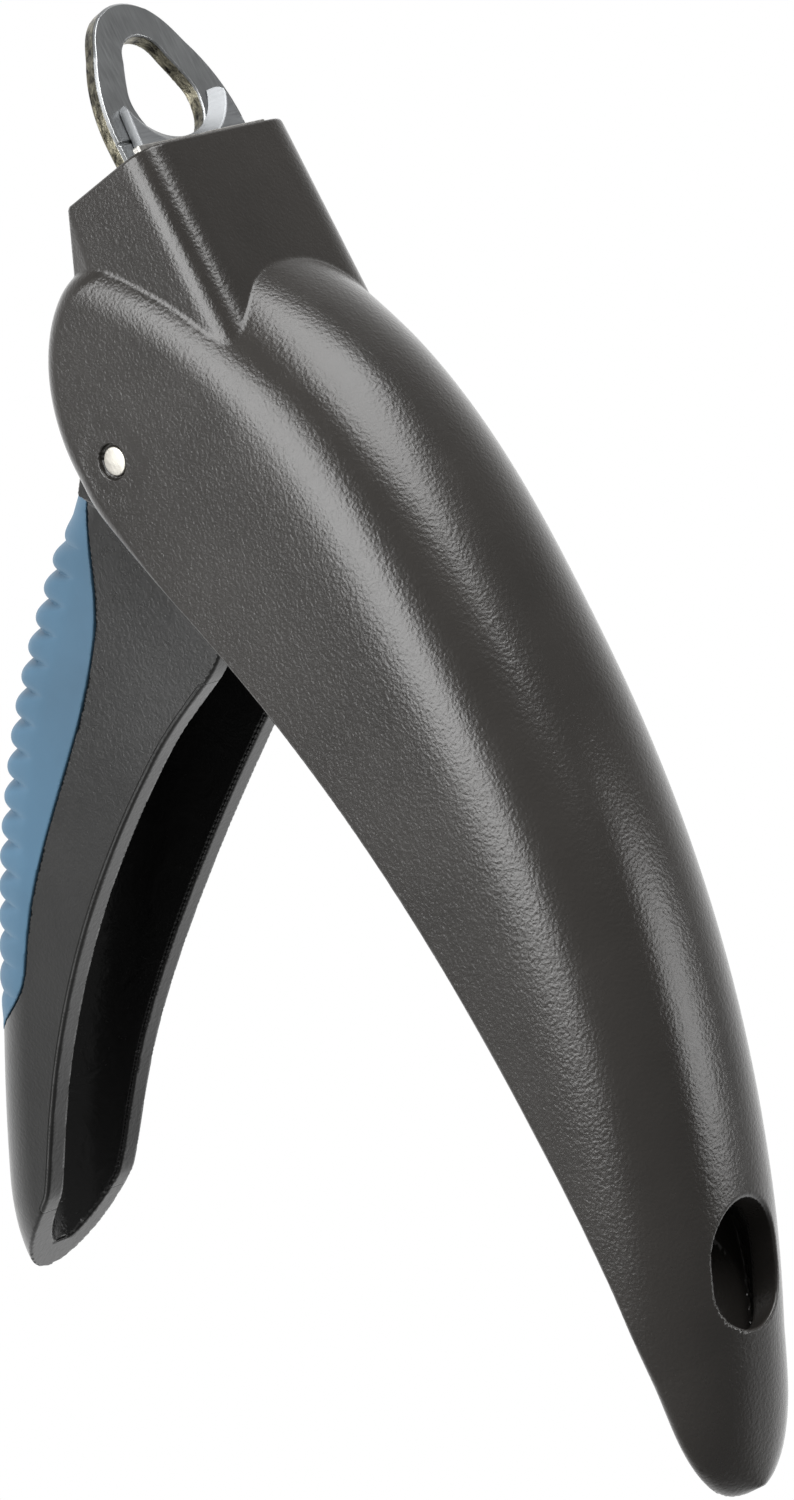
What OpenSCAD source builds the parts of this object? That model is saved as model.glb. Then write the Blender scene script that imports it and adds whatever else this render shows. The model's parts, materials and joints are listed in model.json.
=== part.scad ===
// Guillotine pet nail clipper: a moulded main handle whose square nose carries
// a fixed steel ring plate and a sliding blade, and a squeeze lever with a
// soft ribbed grip that drives the blade up through the ring.
// Frame: origin at the centre of the cutting edge at rest, in the front face of
// the ring plate. +Z is the blade's stroke, Y runs along the pivot pin, +X is
// the front of the nose and also the side of the main handle's rounded back.
// The lever hangs on the -X side, drawn at rest, open.
// Every shape is worked out from the pivot axis; placed() moves it to the frame.

/* [Main handle] */
// Half-width of the handle at the pivot
handle_half_w = 12; // [11.6:0.1:12.4]
// Furthest reach of the rounded back from the pivot axis
back_x = 32.2; // [31:0.1:33]
// Distance of the lower tip below the pivot axis
tip_z = 118; // [116:0.5:120]
// Wall thickness of the moulded shell
wall = 2.5; // [2.2:0.1:2.7]
// Width of the hanging hole
hang_w = 9.5; // [8:0.1:10]
// Extra length of the hanging hole over its width
hang_extra = 1.9; // [1:0.1:3]
// Height of the hanging hole's centre below the pivot axis
hang_z = 98.7; // [97:0.1:100]

/* [Nose] */
// Half-width of the nose block
nose_half_w = 10.9; // [10.6:0.05:11.1]
// Front (+X) face of the nose
nose_front = 21.9; // [21.7:0.05:22.1]
// Rear of the nose, where the screws enter
nose_rear = 7; // [6.8:0.1:7.4]
// Top face of the nose
nose_top = 23.7; // [23.6:0.1:24]
// Corner radius on the front edges of the nose
nose_corner = 2.8; // [2.4:0.1:3.4]

/* [Ring plate and blade] */
// Front (+X) face of the fixed ring plate
ring_face = 17.4; // [17.35:0.05:17.45]
// Thickness of the ring plate
ring_t = 1.7; // [1.5:0.05:1.7]
// Radius of the ring opening at its widest
opening_r = 4.5; // [4.2:0.1:4.6]
// Thickness of the cutting blade
blade_t = 1.25; // [1.15:0.05:1.25]
// Half-width of the blade in its guides
blade_half_w = 7.5; // [7.3:0.05:7.5]
// Radius of the concave cutting edge
edge_r = 5.95; // [5.8:0.05:6.1]
// Radial width of the ground bevel
bevel = 1.5; // [1.2:0.1:1.6]

/* [Lever] */
// Angle of the open lever from the closed line
open_angle = 47; // [46:0.5:48]
// Half-width of the lever near the pivot
lever_half_w = 8.6; // [8.4:0.05:8.6]
// Wall thickness of the lever channel
lever_wall = 2.3; // [2:0.1:2.4]
// Ribs along the soft grip
ribs = 15; // [13:1:16]
// Height of the grip ribs
rib_h = 0.95; // [0.6:0.05:1]
// Thickness of the soft grip
grip_t = 1.8; // [1.6:0.1:2]

/* [Drive and pivot] */
// Diameter of the pivot pin
pin_d = 3; // [2.8:0.1:3]
// Distance from the pivot axis to the driving nose
drive_r = 18.9; // [18.8:0.05:19]
// Thickness of the steel drive arm
arm_t = 2.4; // [2.2:0.1:2.5]
// Downward angle of the drive arm at rest
arm_rest = 20; // [19.5:0.5:20.5]
// Wire diameter of the return spring
spring_wire = 0.7; // [0.6:0.05:0.7]
// Mean radius of the return spring
spring_r = 2.2; // [2.1:0.05:2.25]
// Height of the spring seat above the pivot axis at rest
seat_z = 1.2; // [1.1:0.1:1.4]

/* [Hidden] */

// Clamped stack, from rear to front: ring plate, blade, cover plate
gap = 0.05;                 // running gap between sliding plates
ring_rear = ring_face - ring_t;
blade_rear = ring_face + gap;
blade_front = blade_rear + blade_t;
cover_rear = blade_front + gap;
cover_t = 0.95;
cover_front = cover_rear + cover_t;
plate_half_w = 9.15;        // ring plate, rails and cover plate
plate_low = 9.5;            // lower edge of the stack
tongue_slot_w = 3.5;        // slot in nose and ring plate for the spring seat's tongue

// Head screws
screw_y = 4.4;
screw_z = 14.5;
screw_r = 1.5;
screw_slide_r = screw_r + 0.1;      // holes and slots in ring plate and blade
head_r = 2.7;
head_seat_x = nose_rear + 2.2;      // inner end of the screw heads

// Blade and return spring
travel = 13;                // blade stroke
edge_z = 31.4;              // centre of the cutting edge at rest
spring_x = 12.6;
spring_top = 21;
spring_outer_r = spring_r + spring_wire / 2;
seat_t = 1.2;
tongue_w = 2.4;             // tongue that joins the spring seat to the blade

// Lever, pivot and drive arm
hub_r = 7;
pin_r = pin_d / 2;
boss_y = 9.2;               // inner faces of the pivot bosses
washer_gap = 0.03;
rivet_r = 1;
rivet_x = -6.4;
rivet_z = [-12, -20];
web_half_w = 3.6;           // lever web that holds the drive arm
tang_x = -8.1;              // rear edge of the drive arm's tang and its slot

power = 2.2;                // squareness of the handle and lever sections
handle_steps = 16;          // steps round half a section
lever_steps = 12;
grip_steps = 6;
far = 20;                   // half-length of cuts that pass right through

module placed() { translate([-ring_face, 0, -edge_z]) children(); }

// ---- shared maths
function clamp(v, low, high) = min(max(v, low), high);
function mix(a, b, t) = a + (b - a) * t;
// smooth step from 0 at a to 1 at b
function ease(a, b, v) = let (t = clamp((v - a) / (b - a), 0, 1)) t * t * (3 - 2 * t);
// superellipse quadrant: 0 at u = 0, 1 from u = 1 on
function bulge(u) = pow(max(1 - pow(max(1 - clamp(u, 0, 1), 0), power), 0), 1 / power);
// minimum with the corner between the two blended over r
function soft_min(a, b, r) = min(a, b) - pow(max(r - abs(a - b), 0), 2) / (4 * r);
// position from 0 to 1 of step j, closer together at both ends
function cosine_step(j, count) = (1 - cos(180 * j / count)) / 2;
function reversed(list) = [for (k = [len(list) - 1 : -1 : 0]) list[k]];
// closes half an outline with its mirror image in x
function both_halves(half) = concat(half, [for (p = reversed(half)) [-p[0], p[1]]]);

// ---- lofting
// End cap of the ring whose first point is number o. "mirrored" rings start on
// the plane of symmetry, "band" rings run out along one skin and back along the
// other, and "plain" makes a single face.
function cap_faces(style, o, n) =
    style == "plain" ? [[for (k = [n - 1 : -1 : 0]) o + k]]
    : style == "band" ? [for (k = [0 : n / 2 - 2], t = [0, 1])
        t == 0 ? [o + n - 1 - k, o + k + 1, o + k]
               : [o + n - 1 - k, o + n - 2 - k, o + k + 1]]
    : concat([[o, o + n - 1, o + 1]],
             [for (j = [1 : (n - 1) / 2 - 1], t = [0, 1])
                 t == 0 ? [o + j, o + n - j, o + j + 1]
                        : [o + j + 1, o + n - j, o + n - j - 1]]);

// Closed solid through a stack of rings; flip turns the faces the other way
module loft(rings, flip = false, caps = "mirrored") {
    n = len(rings[0]);
    m = len(rings);
    faces = concat(
        cap_faces(caps, 0, n),
        [for (i = [0 : m - 2], k = [0 : n - 1], t = [0, 1])
            let (a = i * n + k, b = i * n + (k + 1) % n)
            t == 0 ? [a, b, a + n] : [b, b + n, a + n]],
        [for (f = cap_faces(caps, (m - 1) * n, n)) reversed(f)]);
    polyhedron(points = [for (r = rings) each r],
               faces = [for (f = faces) flip ? reversed(f) : f], convexity = 6);
}

// Handle section at height z, from its back to its rim; it reaches full
// half-width at round_depth from the back
function section(z, x_back, x_rim, half, round_depth, count, lipped = false) = let (
    side = [for (j = [0 : count]) let (
            x = x_back + (x_rim - x_back) * cosine_step(j, count),
            lip = lipped ? lip_law(z, x, x_rim) : 1)
         [x, half * bulge(abs(x - x_back) / round_depth) * lip, z]])
    concat(side, [for (j = [count : -1 : 1]) [side[j][0], -side[j][1], z]]);

// ---- cylinders along Y and X, and flat plates
module across(r, y0, y1, x = 0, z = 0, fn = 48) {
    translate([x, y0, z]) rotate([-90, 0, 0]) cylinder(r = r, h = y1 - y0, $fn = fn);
}

// one on each side of the plane of symmetry
module across_pair(r, y_in, y_out, fn = 48) {
    across(r, y_in, y_out, fn = fn);
    across(r, -y_out, -y_in, fn = fn);
}

module along(r, x0, x1, y, z) {
    translate([x0, y, z]) rotate([0, 90, 0]) cylinder(r = r, h = x1 - x0, $fn = 48);
}

// outline with Y across and Z up, thickened toward +X from x0
module flat(x0, t) {
    translate([x0, 0, 0]) rotate([90, 0, 90]) linear_extrude(t) children();
}

// ---- main handle: outline and section laws, z measured from the pivot
crown_z = -36;              // height at which the back reaches furthest
rim_z = -79;                // height at which the rim reaches furthest

function back(z) = z > crown_z ? back_x - 0.000242 * pow(z - crown_z, 2.8)
                               : back_x - 0.0018 * pow(crown_z - z, 2.18);
function tip_taper(z) = ease(-94, -110, z);
// rim of the channel's mouth, on the -X side
function rim(z) = z > rim_z ? 9.15 - 0.00092 * pow(z - rim_z, 2.25)
                            : 9.15 - 0.000726 * pow(rim_z - z, 2.45) - tip_taper(z);
// rounded edge of the cheeks round the pivot
function cheek(z) = 7.4 - 13.9 * sqrt(max(1 - pow((z - 2) / 16.4, 2), 0));
function mouth(z) = mix(rim(z), cheek(z), ease(-9, 1, z));
// rounds off the lower tip
function end_law(z) = let (s = clamp((-(tip_z - 11) - z) / 11.2, 0, 0.9995))
    pow(1 - pow(s, 2.6), 1 / 2.6);
function half_w(z) = end_law(z)
    * (handle_half_w - 0.00237 * pow(max(-20 - z, 0), 1.5) - 0.5 * tip_taper(z));
function depth(z) = 11.5 + 0.00032 * pow(max(z + 1, 0), 3);
// narrowing of the section toward the mouth: its reach, its least value, its law
function lip_reach(z) = mix(0.55, 2.4, ease(-14, 2, z));
function lip_floor(z) = mix(0.96, 0.8, ease(-14, 2, z));
function lip_law(z, x, x_rim) = mix(lip_floor(z), 1, bulge((x - x_rim) / lip_reach(z)));

// stations from the top of the dome to the lower tip, closer toward both ends
function main_z(t) = mix(17.9, -(tip_z + 0.3), t - 0.045 * sin(360 * t));

module handle_outer() {
    n = 40;
    loft([for (i = [0 : n]) let (
            z = main_z(i / n),
            x_rim = mouth(z),
            x_back = max(back(z), x_rim + 0.6 + 3 * end_law(z)))
          section(z, x_back, x_rim, max(half_w(z), 0.8),
                  min(depth(z), x_back - x_rim + 4), handle_steps, lipped = true)]);
}

// channel, open toward -X
module handle_inner() {
    n = 30;
    top = 8.4;
    low = -(tip_z - 5.5);
    open_x = -16;
    loft([for (i = [0 : n]) let (
            z = mix(top, low, i / n),
            back_wall = wall * (1 + 0.25 * ease(-60, -110, z)),
            x_back = max(back(z) - back_wall, mouth(z) + 1.4))
          section(z, x_back, open_x, max(half_w(z) - wall, 1),
                  depth(z) - wall * 0.8, handle_steps)]);
}

// web that closes the channel's mouth at the lower end
module mouth_web() {
    n = 10;
    loft([for (i = [0 : n]) let (
            z = mix(-90, -tip_z + 3, i / n),
            w = (half_w(z) - 0.6) * (1 - 0.15 * ease(-98, -108, z)),
            x = rim(z))
          [[x + 2.3, 0, z], [x + 2, w, z], [x + 0.3, w, z], [x + 0.3, -w, z], [x + 2, -w, z]]]);
}

module nose_plan() {
    corner_x = nose_front - nose_corner;
    corner_y = nose_half_w - nose_corner;
    rear_x = nose_rear - 3;
    lap = 0.01;
    translate([rear_x, -nose_half_w]) square([corner_x - rear_x, 2 * nose_half_w]);
    translate([corner_x - lap, -corner_y]) square([nose_corner + lap, 2 * corner_y]);
    for (s = [-1, 1])
        translate([corner_x, s * corner_y]) circle(nose_corner, $fn = 48);
}

// nose with a sloping rear face and drafted flanks that narrow toward the rear
module nose_block() {
    rear_slope = 36.5;
    flank_draft = 2.8;
    flank_turn = 14.5;
    difference() {
        translate([0, 0, -1]) linear_extrude(nose_top + 1) nose_plan();
        translate([nose_rear + 2, 0, nose_top]) rotate([0, rear_slope, 0])
            translate([-20, -15, -40]) cube([20, 30, 60]);
        for (s = [0, 1])
            mirror([0, s, 0]) translate([nose_rear + 2.07, nose_half_w, nose_top - 0.5])
                rotate([flank_draft, 0, flank_turn])
                    translate([-30, 0, -30]) cube([60, 10, 60]);
    }
}

module nose_cuts() {
    // pocket for ring plate, blade and cover plate
    pocket_half_w = plate_half_w + 0.05;
    translate([ring_rear, -pocket_half_w, -1])
        cube([cover_front - ring_rear, 2 * pocket_half_w, 40]);
    // pocket for the return spring, open toward the ring plate
    translate([spring_x, 0, -1])
        cylinder(r = spring_outer_r + 0.35, h = spring_top + 1, $fn = 48);
    translate([spring_x, -tongue_slot_w / 2, -1]) cube([6, tongue_slot_w, 17.5]);
    // screw holes and head recesses
    for (s = [-1, 1]) {
        along(screw_r + 0.15, nose_rear - 1, 20, s * screw_y, screw_z);
        along(head_r + 0.2, nose_rear - 8, head_seat_x, s * screw_y, screw_z);
    }
}

module pivot_cuts() {
    across(pin_r, -far, far);
    // shallow counterbores in the outer faces
    across_pair(pin_r + 0.3, handle_half_w - 0.55, far);
}

module hanging_hole() {
    inner_x = 10.4;
    outer_x = 40;
    translate([0, 0, -hang_z]) flat(inner_x, outer_x - inner_x) {
        for (s = [-1, 1])
            translate([0, s * hang_extra / 2]) circle(hang_w / 2, $fn = 64);
        square([hang_w, hang_extra], center = true);
    }
}

module main_handle() {
    color([0.16, 0.155, 0.15]) placed()
    difference() {
        union() {
            difference() {
                union() {
                    handle_outer();
                    nose_block();
                }
                handle_inner();
            }
            mouth_web();
            // hexagonal bosses inside the cheeks, round the pivot
            across_pair(4.6, boss_y, boss_y + 1.2, fn = 6);
        }
        nose_cuts();
        pivot_cuts();
        hanging_hole();
    }
}

// ---- ring plate, blade and their guides
// long opening, narrower at the top, with flanks tangent to both end circles
module opening() {
    top_r = 2.9;
    low_z = 29.3;
    top_z = 33.8;
    lean = asin((opening_r - top_r) / (top_z - low_z));
    translate([0, low_z]) circle(opening_r, $fn = 72);
    translate([0, top_z]) circle(top_r, $fn = 64);
    polygon(both_halves([[top_r * cos(lean), top_z + top_r * sin(lean)],
                         [opening_r * cos(lean), low_z + opening_r * sin(lean)]]));
}

module ring_plate() {
    shoulder_z = 26;        // where the straight sides turn into arcs
    arc_r = 17.6;
    arc_h = 13.2;
    slot_top = 17;
    color([0.42, 0.42, 0.42]) placed()
    flat(ring_rear, ring_t) difference() {
        union() {
            translate([0, 34.6]) circle(5.95, $fn = 72);
            intersection() {
                translate([plate_half_w - arc_r, shoulder_z]) circle(arc_r, $fn = 160);
                translate([arc_r - plate_half_w, shoulder_z]) circle(arc_r, $fn = 160);
                translate([-10, shoulder_z]) square([20, arc_h]);
            }
            translate([-plate_half_w, plate_low])
                square([2 * plate_half_w, shoulder_z - plate_low]);
        }
        opening();
        translate([-tongue_slot_w / 2, plate_low - 1])
            square([tongue_slot_w, slot_top - plate_low + 1]);
        for (s = [-1, 1])
            translate([s * screw_y, screw_z]) circle(screw_slide_r, $fn = 48);
    }
}

module guide_rails() {
    rail_w = plate_half_w - blade_half_w - 0.1;
    color([0.6, 0.6, 0.58]) placed()
    for (s = [-1, 1])
        flat(ring_face, cover_rear - ring_face)
            translate([s > 0 ? plate_half_w - rail_w : -plate_half_w, plate_low])
                square([rail_w, nose_top - plate_low]);
}

module cover_plate() {
    color([0.7, 0.7, 0.68]) placed()
    flat(cover_rear, cover_t) difference() {
        translate([-plate_half_w, plate_low])
            square([2 * plate_half_w, nose_top + 0.9 - plate_low]);
        translate([0, edge_z]) circle(edge_r + bevel - 0.55, $fn = 72);
        for (s = [-1, 1])
            translate([s * screw_y, screw_z]) circle(screw_r, $fn = 48);
    }
}

module head_screws() {
    color([0.62, 0.62, 0.6]) placed()
    for (s = [-1, 1]) difference() {
        union() {
            along(screw_r, nose_rear + 1, cover_front - 0.1, s * screw_y, screw_z);
            along(head_r, nose_rear + 0.5, head_seat_x, s * screw_y, screw_z);
        }
        // cross recess
        for (a = [0, 90])
            translate([nose_rear + 0.4, s * screw_y, screw_z]) rotate([a, 0, 0])
                cube([1.8, 0.7, 3], center = true);
    }
}

module blade_outline() {
    tail_half_w = 4;
    tail_z = -11;
    low_z = -1.5;           // lower edge of the wide part
    // right half, [y, z] from the top down
    polygon(both_halves([
        [6.5, 29.6], [7.02, 29.1], [blade_half_w, 24],
        [blade_half_w, low_z + 1], [blade_half_w - 1, low_z], [tail_half_w, low_z],
        [tail_half_w, tail_z + 1], [tail_half_w - 1, tail_z]]));
}

module cutting_blade() {
    window = [3, 3.7];      // takes the tip of the drive arm
    window_z = -drive_r * sin(arm_rest);
    lap = 0.001;
    color([0.78, 0.79, 0.8]) placed()
    difference() {
        flat(blade_rear, blade_t) difference() {
            blade_outline();
            translate([-window[0] / 2, window_z - window[1] / 2]) square(window);
            // window for the spring seat's tongue
            translate([-tongue_w / 2, seat_z - seat_t]) square([tongue_w, seat_t]);
            // slots for the two screws
            for (s = [-1, 1]) {
                translate([s * screw_y - screw_slide_r, screw_z - travel])
                    square([2 * screw_slide_r, travel]);
                for (z = [screw_z - travel, screw_z])
                    translate([s * screw_y, z]) circle(screw_slide_r, $fn = 40);
            }
        }
        // bevelled cutting edge
        translate([blade_rear, 0, edge_z]) rotate([0, 90, 0]) translate([0, 0, -lap])
            cylinder(r1 = edge_r, r2 = edge_r + bevel, h = blade_t + 2 * lap, $fn = 96);
    }
}

module spring_seat() {
    low = seat_z - seat_t;
    color([0.5, 0.5, 0.48]) placed()
    union() {
        translate([spring_x, 0, low])
            cylinder(r = spring_outer_r + 0.1, h = seat_t, $fn = 40);
        // post inside the coil
        translate([spring_x, 0, seat_z - 0.6])
            cylinder(r = spring_r - spring_wire / 2 - 0.15, h = 2.4, $fn = 40);
        translate([spring_x, -tongue_w / 2, low])
            cube([blade_front - spring_x, tongue_w, seat_t]);
    }
}

// coil swept with an eight-sided wire, its end turns flat
module return_spring() {
    turns = 8;
    per_turn = 12;
    wire_sides = 8;
    flat_turns = 0.9;
    wire_r = spring_wire / 2;
    low = seat_z + wire_r + 0.02;
    high = spring_top - wire_r - 0.02;
    n = turns * per_turn;
    function at(i) = let (
        turn = i / per_turn,
        rise = clamp((turn - flat_turns) / (turns - 2 * flat_turns), 0, 1))
        [spring_x + spring_r * cos(360 * turn), spring_r * sin(360 * turn),
         mix(low, high, rise)];
    function direction(i) = let (d = at(min(i + 1, n)) - at(max(i - 1, 0))) d / norm(d);
    rings = [for (i = [0 : n]) let (
        forward = direction(i),
        radial = [cos(360 * i / per_turn), sin(360 * i / per_turn), 0],
        up = cross(forward, radial) / norm(cross(forward, radial)),
        outward = cross(up, forward))
        [for (k = [0 : wire_sides - 1]) let (a = 360 * k / wire_sides)
            at(i) + wire_r * (cos(a) * outward + sin(a) * up)]];
    color([0.72, 0.72, 0.7]) placed()
    loft(rings, caps = "plain");
}

// ---- lever: drawn hanging along -Z, then swung open about the pivot.
// Its laws take l, the distance down the lever; its back is on the -X side.
module swung() { rotate([0, open_angle, 0]) children(); }

function palm(l) = ease(10, 40, l) * (1 - ease(44, 74, l));   // swell in mid-length
function lever_w(l) = lever_half_w - 0.000686 * pow(max(l - 30, 0), 2) + 0.7 * palm(l);
function lever_rim(l) =
    soft_min(mix(hub_r * 0.9, 14.6, ease(-3, 15, l)),
             -0.38 + 10.9 * pow(max(72 - l, 0) / 48, 1.7) + 1.6 * (1 - ease(12, 30, l)), 1.5)
    + 0.3 * ease(74, 84, l) - 0.18 * (l - 84.6 + sqrt(pow(l - 84.6, 2) + 0.5));
function lever_back(l) =
    -(l < 36 ? mix(9.2, 14.5, ease(-8, 36, l)) : 14.5 - 0.0021 * pow(l - 36, 2))
    + 0.6 * ease(86, 97, l) + 0.3 * palm(l);
// rounds off the free end
function lever_end(l) = let (s = clamp((l - 84) / 12.6, 0, 0.9995)) pow(1 - pow(s, 3), 1 / 3);
function end_narrow(l) = mix(1, lever_end(l), 0.8);
// back of the shell, sunk by the grip's thickness where the grip lies
function shell_back(l) = lever_back(l) + grip_t * ease(4, 8, l) * (1 - ease(72.7, 73.25, l));

// stations down the lever, with a pair at the step where the grip ends
lever_stations = concat([for (i = [0 : 28]) mix(1, 72.65, i / 28)],
                        [for (i = [0 : 9]) mix(73.3, 96.3, i / 9)]);

module lever_outer() {
    loft([for (l = lever_stations)
          section(-l, shell_back(l) + (1 - lever_end(l)) * 3, lever_rim(l),
                  lever_w(l) * end_narrow(l), 7.5, lever_steps)], flip = true);
}

// channel, open toward +X
module lever_inner() {
    n = 26;
    loft([for (i = [0 : n]) let (l = mix(9, 92.4, i / n))
          section(-l, shell_back(l) + lever_wall, lever_rim(l) + 14,
                  (lever_w(l) - lever_wall) * end_narrow(l + 1), 6, lever_steps)],
         flip = true);
}

module rivet_pair(half_length) {
    for (z = rivet_z)
        across(rivet_r, -half_length, half_length, rivet_x, z, 32);
}

module lever_handle() {
    color([0.15, 0.15, 0.15]) placed()
    swung() difference() {
        union() {
            difference() {
                union() {
                    lever_outer();
                    across(hub_r, -lever_half_w, lever_half_w, fn = 72);
                    translate([-hub_r, -lever_half_w, -hub_r])
                        cube([hub_r, 2 * lever_half_w, hub_r]);
                }
                lever_inner();
            }
            // web that holds the drive arm
            translate([-8.6, -web_half_w, -26]) cube([5.6, 2 * web_half_w, 24]);
        }
        // slot for the drive arm
        translate([tang_x, -arm_t / 2, -24]) cube([30, arm_t, 34]);
        across(pin_r + 0.05, -far, far);
        rivet_pair(web_half_w);
    }
}

// ---- soft grip, a band wrapped round the back of the lever
// x at which the band's side edges end
function grip_side(l) =
    mix(-7, -2, ease(1, 22, l)) - 3.9 * ease(24, 56, l) - 7 * ease(60, 76, l);
// height of the ribs, fading out at both ends
function grip_crest(l) = let (phase = (l - 14) / 3.42)
    rib_h * (1 - 0.55 * ease(50, 66, l)) * ease(9, 15, l) * (1 - ease(64, 69, l))
    * (phase > -0.5 && phase < ribs ? abs(sin(180 * phase)) : 0);

// one half of one skin of the band, from the back to the side edge
function grip_half(x_back, x_side, w) = [for (j = [0 : grip_steps]) let (
    t = j / grip_steps,
    x = x_back + (x_side - x_back) * cosine_step(j, grip_steps) * mix(1, 0.93, t * (1 - t)))
    [x, w * bulge((x - x_back) / 7.5)]];
function grip_ring(l, x_out, x_in, x_side, w_out, w_in) = let (
    outer = grip_half(x_out, x_side, w_out),
    inner = grip_half(x_in, x_side, w_in))
    concat([for (j = [grip_steps : -1 : 1]) [outer[j][0], -outer[j][1], -l]],
           [for (p = outer) [p[0], p[1], -l]],
           [for (j = [grip_steps : -1 : 1]) [inner[j][0], inner[j][1], -l]],
           [for (p = inner) [p[0], -p[1], -l]]);

module lever_grip() {
    n = 4 * ribs + 12;
    edge_t = 0.5;           // thickness at the end nearest the pivot
    color([0.34, 0.48, 0.6]) placed()
    swung() loft([for (i = [0 : n]) let (
            l = mix(8.4, 72.6, i / n),
            x_shell = shell_back(l),
            t = mix(edge_t, grip_t, ease(8, 12, l)))
        grip_ring(l, x_shell - t - grip_crest(l), x_shell - 0.2,
                  max(grip_side(l), x_shell + 1.2), lever_w(l) + 0.62, lever_w(l) + 0.22)],
        flip = true, caps = "band");
}

// ---- drive arm and pivot
module arm_slab() {
    translate([0, arm_t / 2, 0]) rotate([90, 0, 0]) linear_extrude(arm_t) children();
}

module drive_arm() {
    root = 3.2;             // half-heights of the arm at the pivot and at its tip
    tip = 1.2;
    neck_x = drive_r - 3;
    color([0.55, 0.55, 0.54]) placed()
    difference() {
        union() {
            across(5.2, -arm_t / 2, arm_t / 2, fn = 64);
            rotate([0, arm_rest, 0]) {
                arm_slab() polygon([[0, root], [neck_x, tip], [drive_r, tip],
                                    [drive_r, -tip], [neck_x, -tip], [0, -root]]);
                across(1.6, -arm_t / 2, arm_t / 2, drive_r, 0, 40);
            }
            // tang held in the lever's web
            swung() arm_slab() polygon([[tang_x, -23.5], [-4.5, -23.5], [-2, -3],
                                        [-4.5, 1], [tang_x, -6]]);
        }
        across(pin_r + 0.05, -5, 5);
        swung() rivet_pair(5);
    }
}

module arm_rivets() {
    color([0.66, 0.66, 0.64]) placed()
    swung() rivet_pair(web_half_w);
}

module pivot_pin() {
    half_length = handle_half_w - 0.35;
    color([0.8, 0.8, 0.78]) placed()
    across(pin_r, -half_length, half_length);
}

module thrust_washers() {
    color([0.85, 0.84, 0.8]) placed()
    difference() {
        across_pair(4, lever_half_w + washer_gap, boss_y - washer_gap);
        across(pin_r + 0.03, -12, 12);
    }
}

main_handle();
ring_plate();
guide_rails();
cover_plate();
head_screws();
cutting_blade();
spring_seat();
return_spring();
drive_arm();
arm_rivets();
lever_handle();
lever_grip();
pivot_pin();
thrust_washers();
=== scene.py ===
"""Hand clipper: a long hollow handle, a pivoting lever with a soft grip, a ring plate and a blade.

Shapes are worked out in millimetres from the pivot axis, which lies along Y. The main handle
hangs down -Z with its closed back towards +X. The lever points down and towards -X, with its
open side facing the handle. The frame's origin lies on the ring plate's +X face, EYE_Z above
the pivot. Solids are distance fields, negative inside, turned into quad meshes.
"""
import json
import math
from functools import reduce
from itertools import combinations, product

import bpy
import numpy as np
from mathutils import Matrix, Vector

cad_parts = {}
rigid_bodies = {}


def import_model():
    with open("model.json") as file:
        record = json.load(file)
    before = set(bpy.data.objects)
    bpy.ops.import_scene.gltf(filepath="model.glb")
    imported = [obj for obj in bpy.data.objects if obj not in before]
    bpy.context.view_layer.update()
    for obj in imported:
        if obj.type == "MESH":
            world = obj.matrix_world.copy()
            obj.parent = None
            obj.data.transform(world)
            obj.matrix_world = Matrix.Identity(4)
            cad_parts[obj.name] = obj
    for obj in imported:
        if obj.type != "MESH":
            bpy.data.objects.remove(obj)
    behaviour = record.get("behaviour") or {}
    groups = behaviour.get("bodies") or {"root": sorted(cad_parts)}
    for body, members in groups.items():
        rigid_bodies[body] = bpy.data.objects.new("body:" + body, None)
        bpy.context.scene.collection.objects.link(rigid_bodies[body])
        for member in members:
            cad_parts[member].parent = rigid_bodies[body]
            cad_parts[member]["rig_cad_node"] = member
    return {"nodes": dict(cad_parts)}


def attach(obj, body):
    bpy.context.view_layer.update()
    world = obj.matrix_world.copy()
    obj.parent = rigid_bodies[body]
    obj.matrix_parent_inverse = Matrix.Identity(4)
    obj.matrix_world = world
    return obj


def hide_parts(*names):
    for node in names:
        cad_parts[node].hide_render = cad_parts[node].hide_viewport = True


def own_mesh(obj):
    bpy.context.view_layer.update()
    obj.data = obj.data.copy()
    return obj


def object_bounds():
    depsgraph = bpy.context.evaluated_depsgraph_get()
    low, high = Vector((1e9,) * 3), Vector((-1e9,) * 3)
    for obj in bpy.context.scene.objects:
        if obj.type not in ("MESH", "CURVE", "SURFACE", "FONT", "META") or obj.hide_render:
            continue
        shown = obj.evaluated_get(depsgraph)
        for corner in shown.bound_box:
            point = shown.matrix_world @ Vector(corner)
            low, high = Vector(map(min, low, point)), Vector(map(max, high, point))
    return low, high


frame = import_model()
cad_low, cad_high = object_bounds()

# ------------------------------------------------------------------ shared sizes, mm
PLATE_X = 17.4                          # +X face of the ring plate
EYE_Z = 31.4                            # centre of the blade's and cover's round cuts
FRAME_SHIFT = np.array([-PLATE_X, 0.0, -EYE_Z])
SCREW_Y, SCREW_Z = 4.4, 14.5            # pair of head screws, at +Y and -Y
SPRING_X, SPRING_TOP_Z = 12.6, 21
HEAD_FLOOR_Z = -1                       # lower end of the pockets in the head
GRID_SCALE = 1.0


# ------------------------------------------------------------------ laws and distance fields
def clamp(value, low, high):
    return np.minimum(np.maximum(value, low), high)


def ease(start, end, value):
    """Smooth step from 0 at start to 1 at end."""
    t = clamp((value - start) / (end - start), 0.0, 1.0)
    return t * t * (3 - 2 * t)


def mix(a, b, t):
    return a + (b - a) * t


def falloff(distance, rate, power):
    """Power curve that starts where distance turns positive."""
    return rate * np.maximum(distance, 0) ** power


def end_cap(distance, length, power):
    """Superellipse from 1 down to nearly 0 over the length."""
    s = clamp(distance / length, 0, 0.9999)
    return (1 - s ** power) ** (1 / power)


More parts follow.
